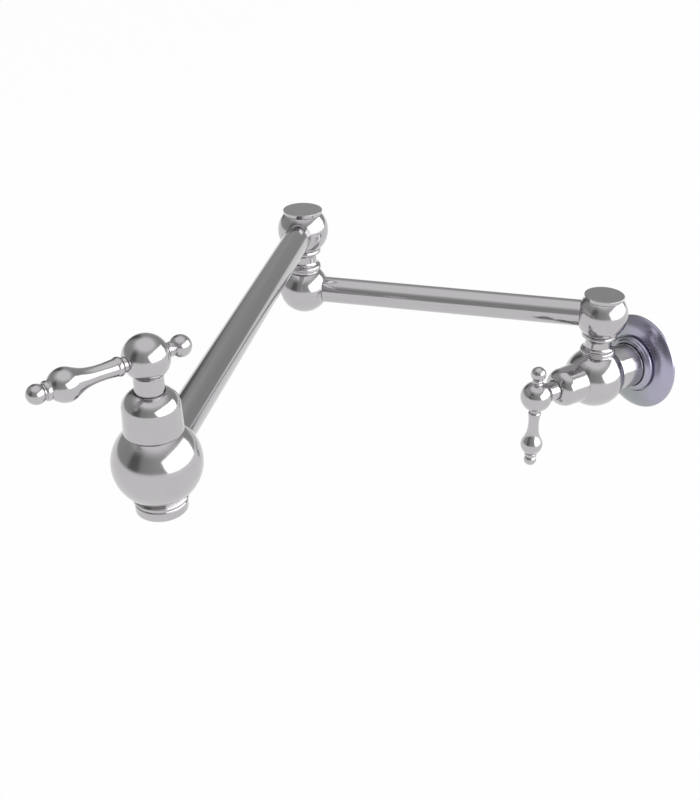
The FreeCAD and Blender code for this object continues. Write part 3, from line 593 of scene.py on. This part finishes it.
def swivel_cap(name, where):
    """Screwed cap with a plain skirt inside, a slightly flared rim and a flat top."""
    low = CAP_SEAT
    top = CAP_SEAT + CAP_HEIGHT
    outer = GALLERY - SEATED
    piece = turned(
        name + "_lid", where,
        (outer - CAP_SKIRT_WALL, low - CAP_SKIRT_DEPTH), (outer, low - CAP_SKIRT_DEPTH), (outer, low),
        (CAP - 0.35, low),
        (CAP, top - 0.4), (CAP - 0.4, top, 0.12), (0, top))
    dressed(piece, name + "_cap", where)


def swivel(name, lower_ball, boss, arm_way):
    foot = lower_ball + UP * boss * MM
    swivel_post(name, place(foot, UP, arm_way))
    centre = foot + UP * (HEAD_FLOOR + HEAD_FACE) * MM
    swivel_head(name, place(centre, UP, arm_way))
    swivel_cap(name, place(centre, UP, arm_way))


# ---- Valves ----

def bonnet(name, where):
    """Cover over the cartridge: a tapered skirt and a dome up to the handle's neck."""
    mouth = NECK + NECK_GAP
    bore = BONNET_THREAD + SEATED
    skirt_top = SEAT_LEVEL + BONNET_SKIRT
    dome_top = BONNET_TOP - BONNET_MOUTH_DROP
    piece = turned(
        name + "_cover", where,
        (bore, SEAT_LEVEL), (BONNET - 0.4, SEAT_LEVEL), (BONNET, SEAT_LEVEL + 0.4, 0.12),
        (BONNET - 0.45, skirt_top), (mouth + 0.2, dome_top, 1.3),
        (mouth, dome_top), (mouth, BONNET_TOP - 2.8), (bore, skirt_top - 0.5, -0.9), (bore, SEAT_LEVEL))
    dressed(piece, name + "_bonnet", where)


def handle_hub(name, where):
    """Ball of the handle on its neck, with a fillet where they meet. The lever leaves along X."""
    low = -(HANDLE_RISE + NECK_DEPTH)
    fillet_top = -on_ball(HUB_BALL, HUB_FILLET)
    piece = turned(
        name + "_handle_ball", where,
        (0, low), (NECK - 0.3, low), (NECK, low + 0.3), (NECK, fillet_top - HUB_FILLET_HEIGHT),
        (HUB_FILLET, fillet_top, -0.25), (0, HUB_BALL, 0, "ball"))
    side = where.col[0].xyz
    screw_side = -where.col[1].xyz
    centre = where.translation
    drilled(piece, (LEVER_COLLAR + SEATED) * MM, centre + side * lever_seat() * MM, side, HUB_BALL * MM)
    drilled(piece, (FINIAL_BASE + SEATED) * MM, centre - side * finial_seat() * MM, -side, HUB_BALL * MM)
    axle = centre - where.col[2].xyz * GRUB_BELOW_HUB * MM
    drilled(piece, (GRUB + SEATED) * MM, axle + screw_side * STEM_SQUARE / 2 * MM, screw_side, NECK * MM)
    dressed(piece, name + "_handle_hub", where)


def lever_seat():
    return on_ball(HUB_BALL, LEVER_COLLAR) - COLLAR_SINK


def finial_seat():
    return on_ball(HUB_BALL, FINIAL_BASE) - COLLAR_SINK


def lever(name, where):
    """Turned lever along Z: collar, bead, slender waist, bulb, ring and a ball at the tip."""
    seat, collar, bead, waist, bulb = lever_seat(), LEVER_COLLAR, LEVER_BEAD, LEVER_WAIST, LEVER_BULB
    bead_end = seat + 5.1
    widest = LEVER_LENGTH - LEVER_BULB_TO_TIP
    rise = widest - bead_end
    ring_end = widest + 9.7
    tip = LEVER_LENGTH - LEVER_TIP
    piece = turned(
        name + "_handle_grip", where,
        (0, seat - STUD_DEPTH), (STUD, seat - STUD_DEPTH), (STUD, seat), (collar, seat),
        (collar, seat + 1.8), (bead - 0.3, seat + 1.9), (bead, bead_end, 0.6),
        [(waist + 0.2, bead_end + 0.1 * rise), (waist, bead_end + 0.24 * rise),
         (waist + 0.1, bead_end + 0.4 * rise), (waist + 0.5, bead_end + 0.54 * rise),
         (waist + 1.3, bead_end + 0.67 * rise), (bulb - 1.6, bead_end + 0.79 * rise),
         (bulb - 0.4, bead_end + 0.9 * rise), (bulb, widest), (bulb - 0.5, widest + 2.7),
         (bulb - 1.8, widest + 5.1), (bead + 0.5, widest + 6.7)],
        (bead + 0.1, widest + 7.3), (bead - 0.05, ring_end, 0.35), (collar, ring_end),
        (collar, tip - on_ball(LEVER_TIP, collar)), (0, LEVER_LENGTH, tip, "ball"))
    dressed(piece, name + "_handle_lever", where)


def finial(name, where):
    """Small ball on a flared neck, opposite the lever."""
    seat = finial_seat()
    neck_end = FINIAL_REACH - on_ball(FINIAL_BALL, FINIAL_NECK)
    piece = turned(
        name + "_handle_knob", where,
        (0, seat - STUD_DEPTH), (FINIAL_STUD, seat - STUD_DEPTH), (FINIAL_STUD, seat), (FINIAL_BASE, seat),
        (FINIAL_BASE, seat + 0.5), (FINIAL_NECK + 0.35, neck_end - 0.9, -0.25),
        (FINIAL_NECK, neck_end - 0.4), (FINIAL_NECK, neck_end),
        (0, FINIAL_REACH + FINIAL_BALL, FINIAL_REACH, "ball"))
    dressed(piece, name + "_handle_finial", where)


def valve_handle(name, hub, way, lever_way):
    handle_hub(name, place(hub, way, lever_way))
    lever(name, place(hub, lever_way, way))
    finial(name, place(hub, -lever_way, way))


def wall_valve_body():
    """Valve ball with the inlet's collar behind, the bonnet's seat in front and a swivel's boss on top."""
    where = place(WALL_VALVE, OUT, UP)
    back = -INLET_FACE
    ledge = on_ball(VALVE_BALL, INLET_COLLAR)
    thread_top = SEAT_LEVEL + BONNET_THREAD_HEIGHT
    piece = turned(
        "wall_valve_ball", where,
        (SPIGOT, back), (INLET_COLLAR, back), (INLET_COLLAR, -ledge),
        (BONNET_SEAT, SEAT_LEVEL, 0, "ball"), (BONNET_THREAD, SEAT_LEVEL), (BONNET_THREAD, thread_top),
        (CARTRIDGE, thread_top), (CARTRIDGE, CARTRIDGE_SEAT), (CHAMBER, CARTRIDGE_SEAT),
        (CHAMBER, SPIGOT_FLOOR), (SPIGOT, SPIGOT_FLOOR), (SPIGOT, back))
    boss_place = place(WALL_VALVE, UP, OUT)
    foot = BOSS + BOSS_FILLET
    low = on_ball(VALVE_BALL, foot)
    boss = turned(
        "wall_valve_boss", boss_place,
        (0, low - BOSS_ROOT), (foot, low - BOSS_ROOT), (foot, low), (BOSS, low + 1.3 * BOSS_FILLET, -0.15),
        (BOSS, VALVE_BOSS), (0, VALVE_BOSS))
    combine(piece, boss, "UNION")
    drilled(piece, POST_SOCKET * MM, WALL_VALVE + UP * (VALVE_BOSS - POST_HOLE) * MM, UP, VALVE_BALL * MM)
    dressed(piece, "wall_valve_body", where)


def spout_valve_body():
    """Valve ball with the bonnet's seat on top, the outlet's rim below and the arm's socket at the side."""
    where = place(SPOUT_VALVE, UP, -OUTER_WAY)
    low = -OUTLET_FACE
    rim = -on_ball(VALVE_BALL, OUTLET_BOSS)
    socket_floor = low + OUTLET_ROOM
    thread_top = SEAT_LEVEL + BONNET_THREAD_HEIGHT
    piece = turned(
        "spout_valve_ball", where,
        (SPIGOT, low), (OUTLET_BOSS, low), (OUTLET_BOSS, rim),
        (BONNET_SEAT, SEAT_LEVEL, 0, "ball"), (BONNET_THREAD, SEAT_LEVEL), (BONNET_THREAD, thread_top),
        (CARTRIDGE, thread_top), (CARTRIDGE, CARTRIDGE_SEAT), (CHAMBER, CARTRIDGE_SEAT),
        (CHAMBER, socket_floor), (SPIGOT, socket_floor), (SPIGOT, low))
    drilled(piece, (TUBE + SEATED) * MM, SPOUT_VALVE - OUTER_WAY * on_ball(VALVE_BALL, TUBE) * MM,
            -OUTER_WAY, VALVE_BALL * MM)
    dressed(piece, "spout_valve_body", where)


# ---- Wall plate, inlet and arms ----

def flange():
    """Dished wall plate: a broad curved skirt, a sharp groove, a raised ring and a hub round the inlet."""
    where = place(Vector((0, 0, 0)), OUT, UP)
    bore = SHANK + FLANGE_GAP
    hub = bore + FLANGE_HUB_WALL
    step = hub + 0.9
    shoulder, top = FLANGE_SHOULDER, FLANGE_STEP
    groove, groove_low = shoulder - FLANGE_GROOVE_WIDTH, top - FLANGE_GROOVE_DEPTH
    piece = turned(
        "wall_plate", where,
        (bore, 0), (hub, 0), (hub, top - FLANGE_WALL), (shoulder, top - FLANGE_WALL),
        (FLANGE - 4.5, 1.9, -0.7), (FLANGE - 4.5, 1.0), (FLANGE - 1.5, 1.0), (FLANGE - 1.5, 0), (FLANGE, 0),
        (FLANGE, FLANGE_RIM), (shoulder, top, 1.5), (shoulder, groove_low), (groove, groove_low),
        (groove, top), (step, FLANGE_HEIGHT - 2.0, 0.5), (step - 0.5, FLANGE_HEIGHT - 1.9),
        (bore + 0.3, FLANGE_HEIGHT, 0.3), (bore, FLANGE_HEIGHT), (bore, 0))
    dressed(piece, "wall_flange", where, satin_chrome)


def inlet_shank():
    """Turned inlet between the wall and the valve's ball, threaded inside for the supply."""
    where = place(Vector((0, 0, 0)), OUT, UP)
    shoulder = -WALL_VALVE.y / MM - INLET_FACE
    end = -WALL_VALVE.y / MM + SPIGOT_FLOOR - 0.05
    piece = turned(
        "inlet_sleeve", where,
        (SHANK_THREAD, 0), (SHANK, 0), (SHANK, shoulder), (SPIGOT, shoulder), (SPIGOT, end),
        (SHANK_BORE, end), (SHANK_BORE, SHANK_THREAD_DEPTH), (SHANK_THREAD, SHANK_THREAD_DEPTH),
        (SHANK_THREAD, 0))
    dressed(piece, "inlet_shank", where)


def arm_tube(name, start, way, reach, near_socket, far_ball, far_socket):
    """Round tube between two balls, with a turned-down end in each of them."""
    where = place(start, way, UP)
    near = on_ball(SWIVEL_BALL, TUBE) + SEATED
    far = reach / MM - on_ball(far_ball, TUBE) - SEATED
    inside = TUBE - TUBE_WALL
    low, high = near_socket + SEATED, reach / MM - far_socket - SEATED
    piece = turned(
        name + "_pipe", where,
        (inside, low), (TENON, low), (TENON, near), (TUBE, near), (TUBE, far), (TENON, far), (TENON, high),
        (inside, high), (inside, low))
    dressed(piece, name, where)


def elbow_body():
    """Ball at the end of the inner arm, with the boss that the elbow's swivel stands on."""
    where = place(ELBOW, UP, -INNER_WAY)
    foot = BOSS + BOSS_FILLET
    low = on_ball(SWIVEL_BALL, foot)
    piece = turned(
        "elbow_ball", where,
        (0, -SWIVEL_BALL), (foot, low, 0, "ball"), (BOSS, low + 1.3 * BOSS_FILLET, -0.15), (BOSS, ELBOW_BOSS),
        (POST_SOCKET, ELBOW_BOSS), (POST_SOCKET, ELBOW_BOSS - POST_HOLE), (0, ELBOW_BOSS - POST_HOLE))
    drilled(piece, (TUBE + SEATED) * MM, ELBOW - INNER_WAY * on_ball(SWIVEL_BALL, TUBE) * MM,
            -INNER_WAY, SWIVEL_BALL * MM)
    dressed(piece, "elbow_body", where)


# ---- Outlet ----

def nozzle():
    """Outlet nozzle under the spout's ball, with a broader ring round its top and a cove under that."""
    where = place(SPOUT_VALVE, UP, -OUTER_WAY)
    face = -OUTLET_FACE
    ring_low = face - OUTLET_RING_HEIGHT
    low = ring_low - NOZZLE_HEIGHT
    top = face + NOZZLE_SPIGOT
    wide = OUTLET_RING
    piece = turned(
        "outlet_nozzle", where,
        (NOZZLE_MOUTH, low), (NOZZLE - NOZZLE_ROUND, low), (NOZZLE, low + NOZZLE_ROUND, 0.3 * NOZZLE_ROUND),
        (NOZZLE, ring_low - OUTLET_COVE), (NOZZLE - 0.1, ring_low, -0.5), (wide - 0.5, ring_low),
        (wide, ring_low + 0.5, 0.13), (wide, face - 1.1), (OUTLET_BOSS + 0.1, face - 0.2, 0.12),
        (OUTLET_BOSS, face), (SPIGOT, face), (SPIGOT, top), (NOZZLE_BORE, top),
        (NOZZLE_BORE, low + NOZZLE_LIP), (NOZZLE_MOUTH, low + NOZZLE_LIP), (NOZZLE_MOUTH, low))
    dressed(piece, "aerator_housing", where)


# ---- The object ----

flange()
inlet_shank()
wall_valve_body()
bonnet("wall", place(WALL_VALVE, OUT, UP))
valve_handle("wall", WALL_HUB, OUT, -UP)
swivel("wall_swivel", WALL_VALVE, VALVE_BOSS, INNER_WAY)
arm_tube("inner_arm_tube", WALL_SWIVEL, INNER_WAY, (ELBOW - WALL_SWIVEL).length, SWIVEL_SOCKET,
         SWIVEL_BALL, SWIVEL_SOCKET)
elbow_body()
swivel("elbow_swivel", ELBOW, ELBOW_BOSS, OUTER_WAY)
arm_tube("outer_arm_tube", ELBOW_SWIVEL, OUTER_WAY, (SPOUT_VALVE - ELBOW_SWIVEL).length, SWIVEL_SOCKET,
         VALVE_BALL, VALVE_SOCKET)
spout_valve_body()
bonnet("spout", place(SPOUT_VALVE, UP, OUTER_WAY))
valve_handle("spout", SPOUT_HUB, UP, LEVER_WAY)
nozzle()

# The inner pieces keep the shapes of the construction and get their finishes.
INNER_PLACES = (
    ("wall_swivel", place(WALL_SWIVEL, UP, INNER_WAY)),
    ("wall", place(WALL_VALVE, OUT, UP)),
    ("flange", place(WALL_VALVE, OUT, UP)),
    ("inlet", place(WALL_VALVE, OUT, UP)),
    ("elbow", place(ELBOW_SWIVEL, UP, OUTER_WAY)),
    ("spout", place(SPOUT_VALVE, UP, OUTER_WAY)),
    ("outlet", place(SPOUT_VALVE, UP, OUTER_WAY)),
    ("aerator", place(SPOUT_VALVE, UP, OUTER_WAY)),
)
for name, part in frame["nodes"].items():
    if part.hide_render:
        continue
    where = next(spot for start, spot in INNER_PLACES if name.startswith(start))
    part.data.materials.clear()
    part.data.materials.append(FINISH[SLOT[name]](name, where))


# ---- Studio ----

FLOOR_LEVEL = -0.6
ROOM_RADIUS = 7.0
ROOM_SIDES = 96
SKIRTING = 1.0               # height over which the white of the floor turns into the grey of the walls
WALL_FADE = (3.6, 12.6)      # heights between which the grey walls give way to the white ceiling
WALL_SHADES = (              # grey of the walls by degrees round the object from +X
    (-180, "#626262"), (-176, "#626262"), (-164, "#a4a4a4"), (-150, "#aeaeae"), (-104, "#a6a6a6"),
    (-90, "#6c6c6c"), (-78, "#6c6c6c"), (-58, "#a4a4a4"), (-20, "#b4b4b4"), (100, "#a8a8a8"),
    (130, "#aeaeae"), (150, "#b4b4b4"), (164, "#acacac"), (174, "#6c6c6c"))
FLOOR_GLOW = 0.97            # share of the background's white in what the eye and the metal see of the floor
LAMP_BEARING = math.radians(41)
LAMP_RISE = math.radians(20)
LAMP_AWAY = 4.5
LAMP_SIZE = (10.6, 3.9)
LAMP_GLOW = 2.5
SKY_LIGHT = 0.7              # light of the white surroundings on the object; seen directly they are 1
CAMERA_AT = (0.47704, -0.56596, 0.37290)
CAMERA_DOWN = 29.954         # degrees below level
CAMERA_TURN = 57.312         # degrees to the left of facing the wall
CAMERA_LENS = 47.347
WHITE = (1, 1, 1, 1)


def seen_directly(tree):
    """1 for rays from the camera, and for those that metal and glass send on, and 0 for the rest."""
    path = node(tree, "ShaderNodeLightPath")
    mirrored = node(tree, "ShaderNodeMath", {"operation": "MAXIMUM"}, {
        0: path.outputs["Is Glossy Ray"], 1: path.outputs["Is Transmission Ray"]})
    return node(tree, "ShaderNodeMath", {"operation": "MAXIMUM"}, {
        0: path.outputs["Is Camera Ray"], 1: mirrored.outputs[0]}).outputs[0]


def studio_floor():
    """Plain pale floor. It keeps the object's shadow, and otherwise is the white of the background."""
    bpy.ops.object.select_all(action="DESELECT")
    bpy.ops.mesh.primitive_circle_add(vertices=ROOM_SIDES, radius=ROOM_RADIUS, fill_type="NGON",
                                      location=(0, 0, FLOOR_LEVEL))
    floor = bpy.context.object
    floor.name = "studio_floor"
    material = bpy.data.materials.new("pale_floor")
    material.use_nodes = True
    tree = material.node_tree
    tree.nodes.clear()
    paint = node(tree, "ShaderNodeBsdfDiffuse", inputs={"Color": hex_colour("#f2f2f2")})
    glow = node(tree, "ShaderNodeEmission", inputs={"Color": WHITE, "Strength": 1.0})
    share = node(tree, "ShaderNodeMath", {"operation": "MULTIPLY"}, {
        0: seen_directly(tree), 1: FLOOR_GLOW})
    mix = node(tree, "ShaderNodeMixShader", inputs={
        0: share.outputs[0], 1: paint.outputs[0], 2: glow.outputs[0]})
    node(tree, "ShaderNodeOutputMaterial", inputs={"Surface": mix.outputs[0]})
    floor.data.materials.append(material)


def studio_walls():
    """Grey walls round the object with two darker stretches, seen only in what the metal mirrors."""
    bpy.ops.object.select_all(action="DESELECT")
    bpy.ops.mesh.primitive_cylinder_add(vertices=ROOM_SIDES, radius=ROOM_RADIUS,
                                        depth=WALL_FADE[1] - FLOOR_LEVEL, end_fill_type="NOTHING",
                                        location=(0, 0, (WALL_FADE[1] + FLOOR_LEVEL) / 2))
    walls = bpy.context.object
    walls.name = "studio_walls"
    bpy.ops.object.transform_apply(location=True, rotation=True, scale=True)
    walls.visible_camera = False
    walls.visible_shadow = False
    material = bpy.data.materials.new("grey_walls")
    material.use_nodes = True
    tree = material.node_tree
    tree.nodes.clear()
    spot = node(tree, "ShaderNodeTexCoord").outputs["Object"]
    apart = node(tree, "ShaderNodeSeparateXYZ", inputs={"Vector": spot})
    turn = node(tree, "ShaderNodeMath", {"operation": "ARCTAN2"}, {
        0: apart.outputs["Y"], 1: apart.outputs["X"]})
    round_share = node(tree, "ShaderNodeMapRange", inputs={
        "Value": turn.outputs[0], "From Min": -math.pi, "From Max": math.pi})
    shade = node(tree, "ShaderNodeValToRGB", inputs={"Fac": round_share.outputs[0]})
    ramp = shade.color_ramp
    ramp.interpolation = "EASE"
    for end in (0, 1):
        ramp.elements[end].position = end
        ramp.elements[end].color = hex_colour(WALL_SHADES[0][1])
    for angle, code in WALL_SHADES[1:]:
        ramp.elements.new((angle + 180) / 360).color = hex_colour(code)
    skirting = node(tree, "ShaderNodeMapRange", {"interpolation_type": "SMOOTHSTEP"}, {
        "Value": apart.outputs["Z"], "From Min": FLOOR_LEVEL, "From Max": FLOOR_LEVEL + SKIRTING})
    tone = node(tree, "ShaderNodeMix", {"data_type": "RGBA"}, {
        "Factor": skirting.outputs[0], 6: WHITE, 7: shade.outputs["Color"]})
    glow = node(tree, "ShaderNodeEmission", inputs={"Color": tone.outputs[2]})
    fade = node(tree, "ShaderNodeMapRange", {"interpolation_type": "SMOOTHSTEP"}, {
        "Value": apart.outputs["Z"], "From Min": WALL_FADE[0], "From Max": WALL_FADE[1]})
    clear = node(tree, "ShaderNodeBsdfTransparent")
    mix = node(tree, "ShaderNodeMixShader", inputs={
        0: fade.outputs[0], 1: glow.outputs[0], 2: clear.outputs[0]})
    node(tree, "ShaderNodeOutputMaterial", inputs={"Surface": mix.outputs[0]})
    walls.data.materials.append(material)


def softbox():
    """One broad, soft lamp to the right of the camera, which the balls mirror as a white window."""
    bpy.ops.object.light_add(type="AREA")
    lamp = bpy.context.object
    lamp.name = "softbox"
    direction = Vector((math.cos(LAMP_BEARING), math.sin(LAMP_BEARING), math.tan(LAMP_RISE)))
    lamp.location = direction * LAMP_AWAY
    lamp.rotation_euler = direction.to_track_quat("Z", "Y").to_euler()
    lamp.data.shape = "RECTANGLE"
    lamp.data.size, lamp.data.size_y = LAMP_SIZE
    lamp.data.energy = LAMP_GLOW * math.pi * lamp.data.size * lamp.data.size_y
    lamp.visible_camera = False


def white_surroundings():
    """White all round, a little weaker as light on the object than it is to the eye."""
    world = bpy.data.worlds.new("white_surroundings")
    bpy.context.scene.world = world
    world.use_nodes = True
    tree = world.node_tree
    tree.nodes.clear()
    soft = node(tree, "ShaderNodeMapRange", inputs={
        "Value": seen_directly(tree), "To Min": SKY_LIGHT, "To Max": 1.0})
    light = node(tree, "ShaderNodeBackground", inputs={"Color": WHITE, "Strength": soft.outputs[0]})
    node(tree, "ShaderNodeOutputWorld", inputs={"Surface": light.outputs[0]})


def camera():
    """The photograph's view, solved from the object's balls and rings."""
    bpy.ops.object.camera_add()
    view = bpy.context.object
    view.location = CAMERA_AT
    view.rotation_euler = (math.radians(90 - CAMERA_DOWN), 0, math.radians(CAMERA_TURN))
    view.data.sensor_width = 36.0
    view.data.lens = CAMERA_LENS
    view.data.clip_end = 100.0
    bpy.context.scene.camera = view


studio_floor()
studio_walls()
softbox()
white_surroundings()
camera()
bpy.context.scene.view_settings.view_transform = "Standard"
